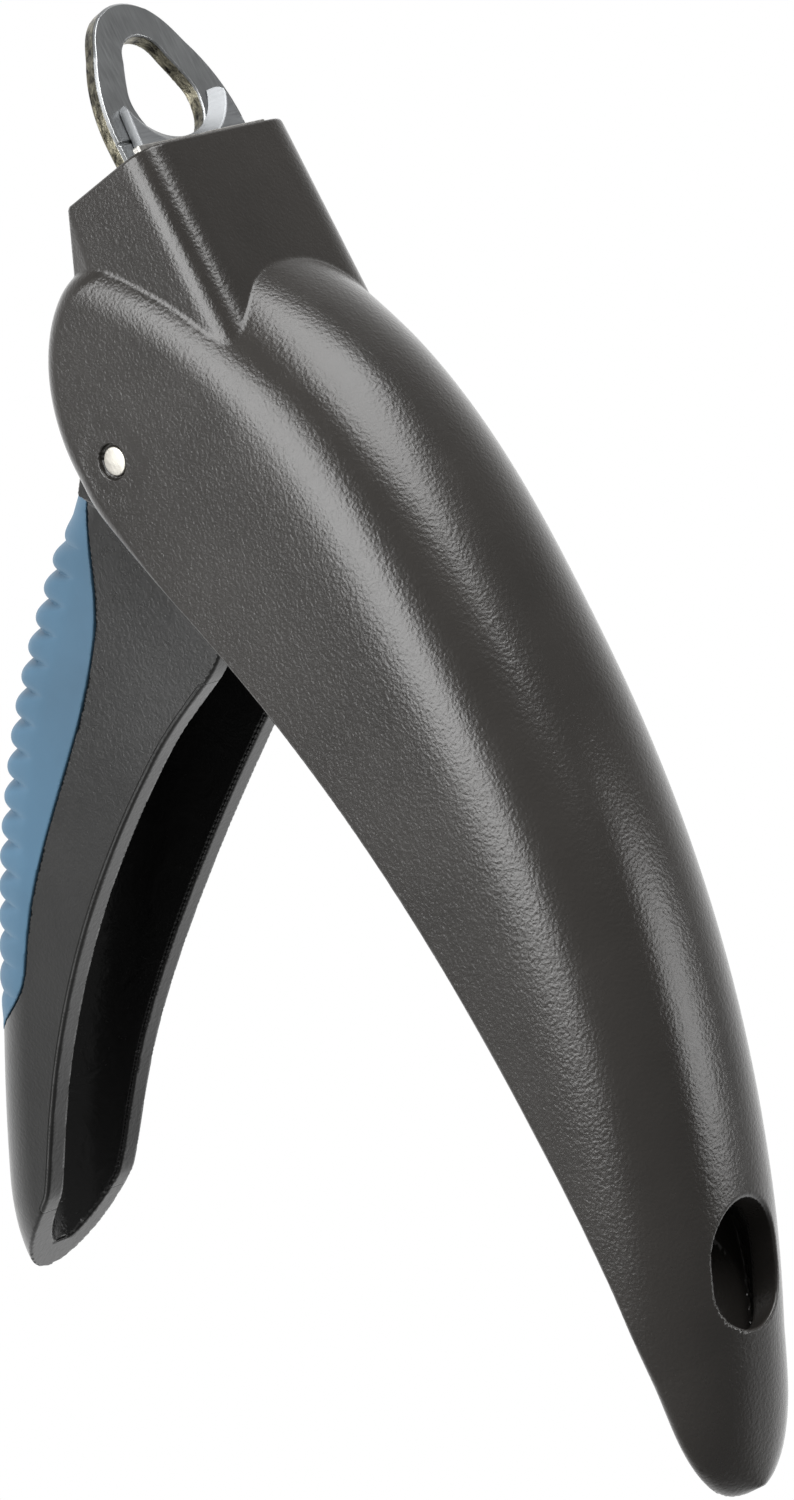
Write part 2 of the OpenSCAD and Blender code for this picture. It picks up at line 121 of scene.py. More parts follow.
def stretch(law, limit):
    """Length of a law's curve per unit of its variable, with the slope limited."""
    return lambda v: np.sqrt(1 + clamp((law(v + 0.05) - law(v - 0.05)) / 0.1, -limit, limit) ** 2)


def tabulate(law, start, end, count):
    """Tabulates a law of one variable, since it is looked up millions of times."""
    stations = np.linspace(start, end, count)
    values = law(stations)
    return lambda v: np.interp(v, stations, values)


def soft_min(a, b, r):
    return np.minimum(a, b) - np.maximum(r - np.abs(a - b), 0) ** 2 / (4 * r)


def overlap(*fields):
    """Sharp intersection."""
    return reduce(np.maximum, fields)


def carve(body, tool):
    """Sharp subtraction."""
    return np.maximum(body, -tool)


def round_union(a, b, r):
    u, v = np.maximum(r - a, 0), np.maximum(r - b, 0)
    return np.maximum(r, np.minimum(a, b)) - np.sqrt(u * u + v * v)


def round_overlap(a, b, r):
    u, v = np.maximum(r + a, 0), np.maximum(r + b, 0)
    return np.minimum(-r, np.maximum(a, b)) + np.sqrt(u * u + v * v)


def round_cut(body, tool, r):
    return round_overlap(body, -tool, r)


def bevel_overlap(a, b, size):
    return np.maximum(np.maximum(a, b), (a + size + b) * math.sqrt(0.5))


def span(value, centre, half):
    """Slab of the given half thickness."""
    return np.abs(value - centre) - half


def circle(a, b, radius):
    return np.sqrt(a * a + b * b) - radius


def hexagon(a, b, radius):
    """Hexagon with corners on the a axis."""
    cos30 = 0.8660254
    a, b = np.abs(a), np.abs(b)
    return np.maximum(a * cos30 + b * 0.5, b) - radius * cos30


def screw_hole(y, z, radius):
    return circle(np.abs(y) - SCREW_Y, z - SCREW_Z, radius)


def rounded_section(inset, y, half_width, corner, power=2.2, soften=None):
    """Section open on one side: inset is the distance in from its closed side, whose corners
    round over the depth corner. soften lets the rounding set in gently on the flanks."""
    reach = 1 - inset / corner
    if soften is not None:
        scale = 0.5 * (1 + np.sqrt(1 + soften * soften))
        bend = np.sqrt(reach * reach + soften * soften) + 1e-9
        reach_slope = 0.5 * (1 + reach / bend) / scale
        reach = 0.5 * (reach + bend) / scale + 1e-9
    else:
        reach_slope = np.where(reach > 0, 1.0, 0.0)
        reach = np.maximum(reach, 0) + 1e-9
    side = np.abs(y) / half_width + 1e-9
    norm = (reach ** power + side ** power) ** (1 / power)
    reach_slope = reach_slope * (reach / norm) ** (power - 1) / corner
    side_slope = (side / norm) ** (power - 1) / half_width
    steepness = np.sqrt(reach_slope * reach_slope + side_slope * side_slope)
    return (norm - 1) / np.maximum(steepness, 0.35 / np.maximum(half_width, 1.0))


# ------------------------------------------------------------------ meshing by surface nets
COARSE = 4                  # fine cells along a coarse block
BAND = 2.6                  # coarse steps from the surface that are still refined
BATCH = 400000
CORNERS = list(product((0, 1), repeat=3))


def window(offset, shape):
    return tuple(slice(o, o + size) for o, size in zip(offset, shape))


def sample(field, points):
    values = np.empty(len(points))
    for start in range(0, len(points), BATCH):
        values[start:start + BATCH] = field(points[start:start + BATCH])
    return values


def value_and_gradient(field, points):
    eps = 0.012
    offsets = [sign * eps * np.eye(3)[d] for d in range(3) for sign in (1, -1)]
    v = sample(field, np.concatenate([points] + [points + o for o in offsets])).reshape(7, -1)
    return v[0], np.stack([(v[1 + 2 * d] - v[2 + 2 * d]) / (2 * eps) for d in range(3)], -1)


def project(field, points, step, times):
    """Moves points on to the surface in limited Newton steps."""
    for _ in range(times):
        value, gradient = value_and_gradient(field, points)
        move = -(value / np.maximum((gradient * gradient).sum(-1), 0.05))[:, None] * gradient
        length = np.sqrt((move * move).sum(-1))
        move *= np.minimum(1, 0.6 * step / np.maximum(length, 1e-12))[:, None]
        points = points + move
    return points


def sample_grid(field, low, high, step):
    """Field values on the grid; blocks away from the surface keep a coarse value."""
    counts = (np.ceil((high - low) / step / COARSE).astype(int)) * COARSE + 1
    axes = [low[d] + step * np.arange(counts[d]) for d in range(3)]
    coarse_axes = [axis[::COARSE] for axis in axes]
    points = np.stack(np.meshgrid(*coarse_axes, indexing="ij"), -1).reshape(-1, 3)
    coarse = field(points).reshape([len(axis) for axis in coarse_axes])
    near = np.abs(coarse) < BAND * COARSE * step
    block = np.zeros([len(axis) - 1 for axis in coarse_axes], bool)
    for corner in CORNERS:
        block |= near[window(corner, block.shape)]
    coarse = coarse[:-1, :-1, :-1]
    for d in range(3):
        coarse = np.repeat(coarse, COARSE, d)
        block = np.repeat(block, COARSE, d)
    grid = np.full(counts, 1e3)
    grid[:-1, :-1, :-1] = coarse
    refine = np.zeros(counts, bool)
    for corner in CORNERS:
        refine[window(corner, block.shape)] |= block
    index = np.nonzero(refine)
    grid[index] = sample(field, np.stack([axes[d][index[d]] for d in range(3)], -1))
    # The grid's border is outside.
    for d in range(3):
        face = [slice(None)] * 3
        for end in (0, -1):
            face[d] = end
            grid[tuple(face)] = np.maximum(grid[tuple(face)], 1e-3)
    return grid


def net_vertices(grid, inside, low, step):
    """One vertex per cell the surface crosses, and each cell's vertex number."""
    hits = np.zeros([size - 1 for size in grid.shape], np.int8)
    for corner in CORNERS:
        hits += inside[window(corner, hits.shape)]
    active = (hits > 0) & (hits < 8)
    cells = np.stack(np.nonzero(active), -1)
    numbers = np.full(active.shape, -1, np.int64)
    numbers[active] = np.arange(len(cells))
    values = np.stack([grid[tuple((cells + np.array(c)).T)] for c in CORNERS], -1)
    total = np.zeros((len(cells), 3))
    crossings = np.zeros(len(cells))
    for i, j in combinations(range(8), 2):
        start, end = np.array(CORNERS[i]), np.array(CORNERS[j])
        if np.abs(start - end).sum() != 1:
            continue
        a, b = values[:, i], values[:, j]
        crossed = (a < 0) != (b < 0)
        t = np.where(crossed, a / np.where(crossed, a - b, 1), 0)
        total += np.where(crossed[:, None], start + t[:, None] * (end - start), 0)
        crossings += crossed
    return low + step * (cells + total / crossings[:, None]), numbers


def net_quads(inside, numbers):
    """One quad round each grid edge the surface crosses, facing out."""
    quads = []
    for d in range(3):
        e, f = (d + 1) % 3, (d + 2) % 3
        first, second = [slice(None)] * 3, [slice(None)] * 3
        first[d], second[d] = slice(0, -1), slice(1, None)
        edges = np.stack(np.nonzero(inside[tuple(first)] != inside[tuple(second)]), -1)
        ring_cells = []
        for back_e, back_f in ((1, 1), (0, 1), (0, 0), (1, 0)):
            cell = edges.copy()
            cell[:, e] -= back_e
            cell[:, f] -= back_f
            ring_cells.append(numbers[tuple(cell.T)])
        quad = np.stack(ring_cells, -1)
        flip = ~inside[tuple(edges.T)]
        quad[flip] = quad[flip][:, ::-1]
        quads.append(quad)
    return np.concatenate(quads)


def surface(field, low, high, step):
    low, high = np.array(low, float), np.array(high, float)
    grid = sample_grid(field, low, high, step)
    inside = grid < 0
    points, numbers = net_vertices(grid, inside, low, step)
    quads = net_quads(inside, numbers)
    points = project(field, points, step, times=1)
    sides = np.concatenate([quads[:, [i, (i + 1) % 4]] for i in range(4)])
    # Even out the spacing, returning to the surface each time.
    count = len(points)
    for _ in range(3):
        total = np.zeros_like(points)
        degree = np.zeros(count)
        for a, b in ((0, 1), (1, 0)):
            degree += np.bincount(sides[:, a], minlength=count)
            for d in range(3):
                total[:, d] += np.bincount(sides[:, a], weights=points[sides[:, b], d],
                                           minlength=count)
        mean = total / np.maximum(degree, 1)[:, None]
        points = project(field, points + 0.55 * (mean - points), step, times=1)
    points = project(field, points, step, times=2)
    normals = value_and_gradient(field, points)[1]
    normals /= np.maximum(np.sqrt((normals * normals).sum(-1)), 1e-9)[:, None]
    return points, quads, normals


def add_object(name, data):
    ob = bpy.data.objects.new(name, data)
    bpy.context.scene.collection.objects.link(ob)
    return ob


def make_mesh(name, points, faces, normals=None):
    """Smooth mesh object from millimetre points, placed in the frame."""
    mesh = bpy.data.meshes.new(name)
    mesh.from_pydata([], [], [])
    vertices = (np.asarray(points, float) + FRAME_SHIFT) / 1000.0
    mesh.vertices.add(len(vertices))
    mesh.vertices.foreach_set("co", vertices.astype(np.float32).ravel())
    counts = np.array([len(face) for face in faces])
    loops = np.concatenate(faces)
    mesh.loops.add(len(loops))
    mesh.polygons.add(len(counts))
    mesh.loops.foreach_set("vertex_index", loops.astype(np.int32))
    starts = np.concatenate([[0], np.cumsum(counts)[:-1]])
    mesh.polygons.foreach_set("loop_start", starts.astype(np.int32))
    mesh.update(calc_edges=True)
    mesh.validate()
    mesh.polygons.foreach_set("use_smooth", np.full(len(mesh.polygons), True))
    if normals is not None:
        mesh.normals_split_custom_set_from_vertices([tuple(n) for n in normals])
    return add_object(name, mesh)


def build(name, field, low, high, step, **marks):
    """Meshes a field; marks are laws stored on the vertices for the material."""
    points, quads, normals = surface(field, low, high, step * GRID_SCALE)
    ob = make_mesh(name, points, quads, normals)
    for mark, law in marks.items():
        attribute = ob.data.attributes.new(mark, "FLOAT", "POINT")
        attribute.data.foreach_set("value", law(points).astype(np.float32))
    return ob


# ------------------------------------------------------------------ main handle
BACK_X, BACK_PEAK_Z = 32.2, -36         # the back's furthest point
RIM_X, RIM_PEAK_Z = 9.15, -79           # the open side's furthest point
CHEEK_X, CHEEK_Z = 7.4, 2               # ellipse of the cheeks beside the pivot
CHEEK_RADIUS_X, CHEEK_RADIUS_Z = 13.9, 16.4
CHEEK_TOP_Z = CHEEK_Z + CHEEK_RADIUS_Z
HANDLE_HALF_WIDTH = 12
HANDLE_WALL = 2.5
CAVITY_LOW_Z, CAVITY_TOP_Z = -112.5, 8.4
NOSE_X, NOSE_TOP_Z = 21.9, 23.7         # +X face and top of the block on the head
NOSE_HALF_WIDTH = 10.9
BOSS_RADIUS = 4.6


def handle_back(z):
    return np.where(z > BACK_PEAK_Z,
                    BACK_X - falloff(z - BACK_PEAK_Z, rate=0.000242, power=2.8),
                    BACK_X - falloff(BACK_PEAK_Z - z, rate=0.0018, power=2.18))


def handle_rim(z):
    return np.where(z > RIM_PEAK_Z,
                    RIM_X - falloff(z - RIM_PEAK_Z, rate=0.00092, power=2.25),
                    RIM_X - falloff(RIM_PEAK_Z - z, rate=0.000726, power=2.45)
                    ) - 1.0 * ease(-94, -110, z)


def handle_edge(z):
    """-X boundary: the rim below, the cheek's ellipse above."""
    height = np.maximum(1 - ((z - CHEEK_Z) / CHEEK_RADIUS_Z) ** 2, 0)
    return mix(handle_rim(z), CHEEK_X - CHEEK_RADIUS_X * np.sqrt(height), ease(-9, 1, z))


def handle_end(z):
    return end_cap(-107 - z, length=11.2, power=2.6)


def handle_half_width(z):
    return (HANDLE_HALF_WIDTH - falloff(-20 - z, rate=0.00237, power=1.5)
            - 0.5 * ease(-94, -110, z)) * handle_end(z)


def cavity_back(z):
    wall = HANDLE_WALL * (1 + 0.25 * ease(-60, -110, z))
    return np.maximum(handle_back(z) - wall, handle_edge(z) + 1.4)


def handle_table(law, count=3000):
    return tabulate(law, -119, 26, count)


BACK, EDGE = handle_table(handle_back), handle_table(handle_edge)
EDGE_STRETCH = handle_table(stretch(handle_edge, 4))
BACK_STRETCH = handle_table(stretch(handle_back, 4))
END, HALF_WIDTH = handle_table(handle_end, 9000), handle_table(handle_half_width, 9000)
CORNER = handle_table(lambda z: 11.5 + falloff(z + 1, rate=0.00032, power=3))
SOFTNESS = handle_table(lambda z: ease(2, -8, z))
LIP_RADIUS = handle_table(lambda z: mix(0.5, 2.6, ease(-16, 2, z)) + 1.3 * ease(-98, -110, z))
CAVITY_BACK = handle_table(cavity_back)


def handle_outer(x, y, z):
    capped_z = np.minimum(z, CHEEK_TOP_Z)
    edge = EDGE(capped_z)
    back = np.maximum(BACK(capped_z), edge + 0.6 + 3 * END(capped_z))
    half_width = np.maximum(HALF_WIDTH(capped_z), 0.15)
    corner = np.minimum(CORNER(capped_z), back - edge + 4)
    soft = SOFTNESS(z)
    body = rounded_section((back - x), y, half_width, corner, 2.2 + 0.12 * soft, 0.32 * soft)
    body = body / np.where(x > back - 3, mix(1, BACK_STRETCH(capped_z), 0.7), 1)
    body = np.maximum(body, (-118.15 - z) * 0.8)
    # The cheek's ellipse, as a distance
    dx, dz = np.minimum(x, CHEEK_X) - CHEEK_X, z - CHEEK_Z
    norm = np.sqrt((dx / CHEEK_RADIUS_X) ** 2 + (dz / CHEEK_RADIUS_Z) ** 2) + 1e-9
    slope = np.sqrt((dx / CHEEK_RADIUS_X ** 2) ** 2 + (dz / CHEEK_RADIUS_Z ** 2) ** 2) / norm
    ellipse = (norm - 1) / np.maximum(slope, 0.04)
    boundary = np.where(z > 1, ellipse, (edge - x) / EDGE_STRETCH(capped_z))
    return round_overlap(body, boundary, LIP_RADIUS(capped_z))


def nose(x, y, z):
    """Block on the head whose +X corners turn slowly, then tightly."""
    side = np.abs(y)
    corner, power = 4.3, 2.75
    qx, qy = x - (NOSE_X - corner), side - (NOSE_HALF_WIDTH - corner)
    px, py = np.maximum(qx, 1e-6), np.maximum(qy, 1e-6)
    norm = (px ** power + py ** power) ** (1 / power)
    slope = np.sqrt((px / norm) ** (2 * power - 2) + (py / norm) ** (2 * power - 2))
    body = np.where((qx > 0) & (qy > 0), (norm - corner) / slope, np.maximum(qx, qy) - corner)
    # -X ramp and the drafted facets beside it; the factors make them distances
    ramp_face = (9.0 - 0.74 * (NOSE_TOP_Z - z) - x) * 0.804
    facet = -0.25 * (x - 9.07) + 0.968 * (side - NOSE_HALF_WIDTH) + 0.049 * (z - 23.2)
    body = round_overlap(body, facet, 0.12)
    body = round_overlap(body, ramp_face, 0.3)
    body = overlap(body, -1.5 - z, 4 - x)
    return round_overlap(body, z - NOSE_TOP_Z, 0.35)


def handle_cavity(x, y, z):
    return rounded_section(CAVITY_BACK(z) - x, y, np.maximum(HALF_WIDTH(z) - HANDLE_WALL, 1),
                           CORNER(z) - 2)


def handle(points):
    x, y, z = points.T
    side = np.abs(y)
    outer = handle_outer(x, y, z)
    # Faint sink mark opposite the hexagonal boss behind each cheek
    sink = 0.045 * (1 - ease(-0.9, 0.5, hexagon(z, x, BOSS_RADIUS))) * (side > 9)
    body = round_union(outer + sink, nose(x, y, z), 0.14)
    cavity = handle_cavity(x, y, clamp(z, CAVITY_LOW_Z, CAVITY_TOP_Z))
    cavity = round_overlap(cavity, z - CAVITY_TOP_Z, 1.2)
    body = round_cut(body, np.maximum(cavity, CAVITY_LOW_Z - z), 0.28)
    # Web that closes the channel's mouth round the hanging hole
    rim = handle_rim(clamp(z, -115, -90))
    web = overlap(rim + 0.3 - x, x - rim - 2.1, side - HALF_WIDTH(z) + 1.2, span(z, -102.6, 12.6))
    body = round_union(body, np.maximum(web, outer + 0.9), 0.5)
    boss = np.maximum(hexagon(z, x, BOSS_RADIUS), span(side, 9.8, 0.6))
    body = round_union(body, boss, 0.2)
    plate_pocket = overlap(span(x, 17.7, 2.0), side - 9.2, HEAD_FLOOR_Z - z)
    body = round_cut(body, plate_pocket, 0.22)
    bore = overlap(circle(x - SPRING_X, y, 2.9), HEAD_FLOOR_Z - z, z - SPRING_TOP_Z)
    slot = overlap(span(x, 15.6, 3), side - 1.75, HEAD_FLOOR_Z - z, z - 16.5)
    body = carve(body, np.minimum(bore, slot))
    body = round_cut(body, np.maximum(screw_hole(y, z, 2.9), x - 9.2), 0.25)
    body = carve(body, np.maximum(screw_hole(y, z, 1.65), x - 20))
    counterbore = np.maximum(circle(x, z, 1.8), 11.45 - side)
    body = round_cut(body, np.minimum(circle(x, z, 1.52), counterbore), 0.1)
    hole = circle(y, np.maximum(span(z, -98.7, 0.95), 0), 4.75)
    return round_cut(body, np.maximum(hole, 10.4 - x), 0.4)


def handle_inner(points):
    """1 on the inside of the moulding, where light and shade are painted, 0 elsewhere."""
    x, y, z = points.T
    held_z = clamp(z, CAVITY_LOW_Z, CAVITY_TOP_Z)
    cavity = np.maximum(handle_cavity(x, y, held_z), span(z, -52, 60.6))
    margin = mix(0.3, 2.3, ease(-89.6, -89.8, z))
    return ease(0.25, -0.15, cavity) * (x > EDGE(held_z) + margin)


# ------------------------------------------------------------------ lever and its grip
# Laws run along the lever's own length from the pivot; its own x is positive at the rim.
LEVER_COS, LEVER_SIN = math.cos(math.radians(47)), math.sin(math.radians(47))
LEVER_WALL = 2.3
LEVER_CORNER = 7.5
GRIP_DEPTH = 1.8                        # pocket under the grip


def to_lever(points):
    x, y, z = points.T
    return (x * LEVER_COS - z * LEVER_SIN, y, -(x * LEVER_SIN + z * LEVER_COS))


def palm_swell(along):
    return ease(10, 40, along) * (1 - ease(44, 74, along))


def lever_half_width(along):
    return 8.6 - falloff(along - 30, rate=0.000686, power=2) + 0.7 * palm_swell(along)


def lever_rim(along):
    near = mix(6.3, 14.6, ease(-3, 15, along))
    far = (-0.38 + 10.9 * (np.maximum(72 - along, 0) / 48) ** 1.7
           + 1.6 * (1 - ease(12, 30, along)))
    tip = along - 84.6
    return (soft_min(near, far, 1.5) + 0.3 * ease(74, 84, along)
            - 0.18 * (tip + np.sqrt(tip ** 2 + 0.5)))


def lever_back(along):
    deepest, bend = 14.5, 36
    curve = np.where(along < bend, mix(9.2, deepest, ease(-8, bend, along)),
                     deepest - 0.0021 * (along - bend) ** 2)
    return -curve + 0.6 * ease(86, 97, along) + 0.3 * palm_swell(along)


def grip_edge(along):
    return mix(-7, -2, ease(1, 22, along)) - 3.9 * ease(24, 56, along) - 7 * ease(60, 76, along)


def lever_table(law, count=4000):
    return tabulate(law, -12, 99, count)


LEVER_HALF_WIDTH, LEVER_RIM = lever_table(lever_half_width), lever_table(lever_rim)
LEVER_BACK = lever_table(lever_back)
LEVER_END = lever_table(lambda along: end_cap(along - 84, length=12.6, power=3), 9000)
LEVER_CAVITY_BACK = lever_table(lambda along: lever_back(along) + 1.8 * ease(4, 8, along))
LEVER_RIM_STRETCH = lever_table(stretch(lever_rim, 3))
GRIP_EDGE = lever_table(grip_edge)


def past_lever_rim(x, along):
    return (x - LEVER_RIM(along)) / LEVER_RIM_STRETCH(along)


def lever_cavity(x, y, along):
    narrowing = mix(1, LEVER_END(along + 1), 0.8) if False else 1 + (LEVER_END(along + 1) - 1) * 0.8
    half_width = np.maximum((LEVER_HALF_WIDTH(along) - LEVER_WALL) * narrowing, 0.3)
    return rounded_section(x - LEVER_CAVITY_BACK(along) - LEVER_WALL, y, half_width, 6)


def lever_shell(points):
    x, y, along = to_lever(points)
    side = np.abs(y)
    end = LEVER_END(along)
    half_width = np.maximum(LEVER_HALF_WIDTH(along) * mix(1, end, 0.8), 0.3)
    back = LEVER_BACK(along) + 3 * (1 - end)
    body = rounded_section(x - back, y, half_width, LEVER_CORNER)
    # The grip lies in a pocket of its own outline.
    bed = rounded_section(x - back - GRIP_DEPTH, y, half_width - 0.5, LEVER_CORNER)
    outline = overlap(x - GRIP_EDGE(along), 6.5 - along, along - 72.6)
    body = np.maximum(body, np.minimum(bed, -outline))
    body = round_overlap(body, past_lever_rim(x, along), 0.28)
    body = overlap(body, 1 - along, along - 96.45)
    cavity = overlap(lever_cavity(x, y, along), 9 - along, along - 92.4)
    hub = np.maximum(circle(x, along, 7), side - 8.6)
    block = overlap(span(x, -3.5, 3.5), span(along, 3.5, 3.5), side - 8.6)
    body = round_union(body, np.minimum(hub, block), 0.3)
    body = round_cut(body, cavity, 0.22)
    web = overlap(span(x, -5.8, 2.8), side - 3.6, span(along, 14, 12))
    body = round_union(body, web, 0.5)
    slot = overlap(-8.1 - x, side - 1.2, span(along, 7, 17))
    body = carve(body, slot)
    body = carve(body, circle(x, along, 1.55))
    # Two cross holes through the web
    for place in (12, 20):
        body = carve(body, circle(x + 6.4, along - place, 1.0))
    return body


def lever_inner(points):
    """1 on the inside of the moulding, where light and shade are painted, 0 elsewhere."""
    x, y, along = to_lever(points)
    cavity = np.maximum(lever_cavity(x, y, along), span(along, 50.7, 41.8))
    return ease(0.2, -0.1, cavity) * (x < LEVER_RIM(along) - 0.3)


def lever_edge(points):
    """Distance past the rim; the material draws a fine groove beside the edge."""
    x, _, along = to_lever(points)
    fade = ease(14, 20, along) * (1 - ease(86, 95, along))
    return past_lever_rim(x, along) - 40 * (1 - fade)


def grip(points):
    x, y, along = to_lever(points)
    back, half_width = LEVER_BACK(along), LEVER_HALF_WIDTH(along)
    # Ribs lean up the sides, then fade out there in a shallow crease.
    away = np.maximum(x - back, 0)
    phase = (along - 14 + 0.3 * away) / 3.42
    live = (phase > -1) & (phase < 16)
    height = (1.08 * (1 - 0.6 * ease(46, 66, along)) * ease(9, 17, along)
              * (1 - ease(63, 69, along)))
    wave = np.abs(np.sin(math.pi * phase))
    crest = np.where(live, height * wave * (1 - ease(1.8, 6.0, away)), 0)
    crease = np.where(live, 0.6 * height * (1 - wave) ** 2.2 * (1 - ease(3.6, 6.8, away))
                      * ease(0.3, 1.4, away), 0)
    body = rounded_section(x - back + crest, y, half_width + 0.14 - crease, LEVER_CORNER)
    body = round_overlap(body, x - GRIP_EDGE(along) + 0.05, 0.12)
    body = round_overlap(body, np.maximum(6.6 - along, along - 72.55), 0.12)
    return carve(body, rounded_section(x - back - 1.75, y, half_width - 0.45, LEVER_CORNER))


# ------------------------------------------------------------------ steel plates
RING_LOW_X = 15.7
BLADE_LOW_X, BLADE_HIGH_X = 17.45, 18.7
COVER_LOW_X, COVER_HIGH_X = 18.75, 19.7
PLATE_HALF_WIDTH, PLATE_LOW_Z = 9.15, 9.5
SHOULDER_Z = 26                         # where the ring plate starts to narrow
BLADE_HALF_WIDTH, BLADE_TAPER_Z = 7.5, 24


def joined_circles(y, z, low_radius, high_radius, height):
    """Two circles joined by their tangents, the first at the origin, the second above it."""
    y = np.abs(y)
    lean = (low_radius - high_radius) / height
    upright = math.sqrt(1 - lean * lean)
    tangent = y * upright + z * lean - low_radius
    place = upright * z - lean * y
    return np.where(place < 0, circle(y, z, low_radius),
                    np.where(place > upright * height, circle(y, z - height, high_radius),
                             tangent))


def ring(points):
    x, y, z = points.T
    side = np.abs(y)
    # Outline: rectangle, then concave-free arcs narrowing to the round top
    arcs = overlap(circle(side + 8.45, z - SHOULDER_Z, 17.6), z - 39.2, 25.9 - z)
    base = overlap(side - PLATE_HALF_WIDTH, PLATE_LOW_Z - z, z - SHOULDER_Z)
    outline = np.minimum(round_union(circle(y, z - 34.6, 5.95), arcs, 0.5), base)
    bulge = 0.16 * np.sin(math.pi * clamp((z - 28.6) / 5.6, 0, 1))
    hole = joined_circles(y, z - 29.3, low_radius=4.5, high_radius=2.9, height=4.5) - bulge
    body = bevel_overlap(outline, x - PLATE_X, 0.26)
    body = round_overlap(body, RING_LOW_X - x, 0.22)
    body = round_cut(body, hole, 0.02)
    # Widen the hole at the +X face.
    body = carve(body, hole - np.maximum(x - 17.22, 0))
    body = carve(body, np.maximum(side - 1.75, z - 17))
    return carve(body, screw_hole(y, z, 1.6))


def blade(points):
    x, y, z = points.T
    side = np.abs(y)
    flank = side - BLADE_HALF_WIDTH
    tapered = (flank + 0.48 / 5.1 * (z - BLADE_TAPER_Z)) * 0.9956
    body = round_overlap(np.where(z > BLADE_TAPER_Z, tapered, flank), z - 29.6, 0.75)
    body = np.maximum(body, -1.5 - z)
    tail = overlap(side - 4, -11 - z, z + 1.0)
    body = round_overlap(np.minimum(body, tail), x - BLADE_HIGH_X, 0.11)
    body = round_overlap(body, BLADE_LOW_X - x, 0.08)
    # Cutting edge ground as a cone round the eye
    cone = (5.95 + 1.2 * (x - BLADE_LOW_X) - circle(y, z - EYE_Z, 0)) * 0.64
    body = round_overlap(body, cone, 0.09)
    tail_opening = np.maximum(side - 1.5, span(z, -6.46, 1.85))
    small_opening = np.maximum(side - 1.2, span(z, 0.6, 0.6))
    body = carve(body, np.minimum(tail_opening, small_opening))
    screw_slot = circle(side - SCREW_Y, np.maximum(span(z, 8, 6.5), 0), 1.6)
    return round_cut(body, screw_slot, 0.05)


def cover(points):
    x, y, z = points.T
    outline = overlap(np.abs(y) - PLATE_HALF_WIDTH, PLATE_LOW_Z - z, z - 24.6)
    body = round_overlap(outline, x - COVER_HIGH_X, 0.14)
    body = round_overlap(body, COVER_LOW_X - x, 0.1)
    body = round_cut(body, circle(y, z - EYE_Z, 6.9), 0.05)
    return carve(body, screw_hole(y, z, 1.5))


# ------------------------------------------------------------------ pin and spring
def build_pin(radius=1.5, half_length=11.65, edge=0.16, segments=64):
    """Pin along the pivot axis with rounded edges and slightly domed ends."""
    end = [(radius, half_length - edge - 0.04)]
    for t in np.linspace(0, 1, 7)[1:]:
        a = t * math.pi / 2
        end.append((radius - edge + edge * math.cos(a),
                    half_length - edge + edge * math.sin(a) - 0.05))
    for q in (0.75, 0.5, 0.25, 0.08):
        end.append(((radius - edge) * q, half_length - 0.05 * q * q))
    profile = [(r, -y) for r, y in reversed(end)] + end
    size = len(profile)
    points, faces = [], []
    for i in range(segments):
        a = 2 * math.pi * i / segments
        points += [(r * math.cos(a), y, r * math.sin(a)) for r, y in profile]
        here, after = i * size, (i + 1) % segments * size
        for k in range(size - 1):
            faces.append((here + k, here + k + 1, after + k + 1, after + k))
    low_centre, high_centre = len(points), len(points) + 1
    points += [(0, profile[0][1], 0), (0, profile[-1][1], 0)]
    for i in range(segments):
        here, after = i * size, (i + 1) % segments * size
        faces.append((low_centre, here, after))
        faces.append((high_centre, after + size - 1, here + size - 1))
    return make_mesh("pivot_pin_steel", points, faces)


def build_spring(turns=8, closed=0.9, coil=2.2, wire=0.35, segments=14, stations=420):
    """Helix along Z; closed is the number of flat turns at each end."""
    t = np.linspace(0, 1, stations)
    low, high = 1.2 + 0.37, SPRING_TOP_Z - 0.37
    rise = np.clip((t * turns - closed) / (turns - 2 * closed), 0, 1)
    path = np.stack([SPRING_X + coil * np.cos(2 * np.pi * turns * t),
                     coil * np.sin(2 * np.pi * turns * t), low + (high - low) * rise], -1)
    heading = np.gradient(path, axis=0)
    heading /= np.linalg.norm(heading, axis=1)[:, None]
    points, faces = [], []
    for centre, ahead in zip(path, heading):
        across = np.cross(np.array([0, 0, 1.0]), ahead)
        across /= np.linalg.norm(across)
        over = np.cross(ahead, across)
        for k in range(segments):
            a = 2 * math.pi * k / segments
            points.append(centre + wire * (math.cos(a) * across + math.sin(a) * over))
    for i in range(stations - 1):
        for k in range(segments):
            a, b = i * segments + k, i * segments + (k + 1) % segments
            faces.append((a, b, b + segments, a + segments))
    faces.append(list(range(segments))[::-1])
    faces.append([(stations - 1) * segments + k for k in range(segments)])
    return make_mesh("return_coil", points, faces)


# Fields with the low and high corners of their grids and the grid steps
handle_piece = build("handle_shell", handle, (-8, -12.6, -119.4), (33.4, 12.6, 24.8), 0.33,
                     inner=handle_inner)
lever_piece = build("lever_shell", lever_shell, (-88, -9.8, -78), (17, 9.8, 10), 0.33,
                    inner=lever_inner, edge=lever_edge)
grip_piece = build("lever_soft_grip", grip, (-70, -10.6, -60), (3, 10.6, 6), 0.2)
ring_piece = build("ring_steel_plate", ring, (15.3, -9.6, 9.0), (17.8, 9.6, 41.0), 0.13)
blade_piece = build("blade_ground", blade, (17.2, -7.8, -11.4), (19.0, 7.8, 30.0), 0.088)
cover_piece = build("nose_cover_strip", cover, (18.5, -9.5, 9.0), (20.0, 9.5, 25.2), 0.11)
pin_piece = build_pin()
spring_piece = build_spring()


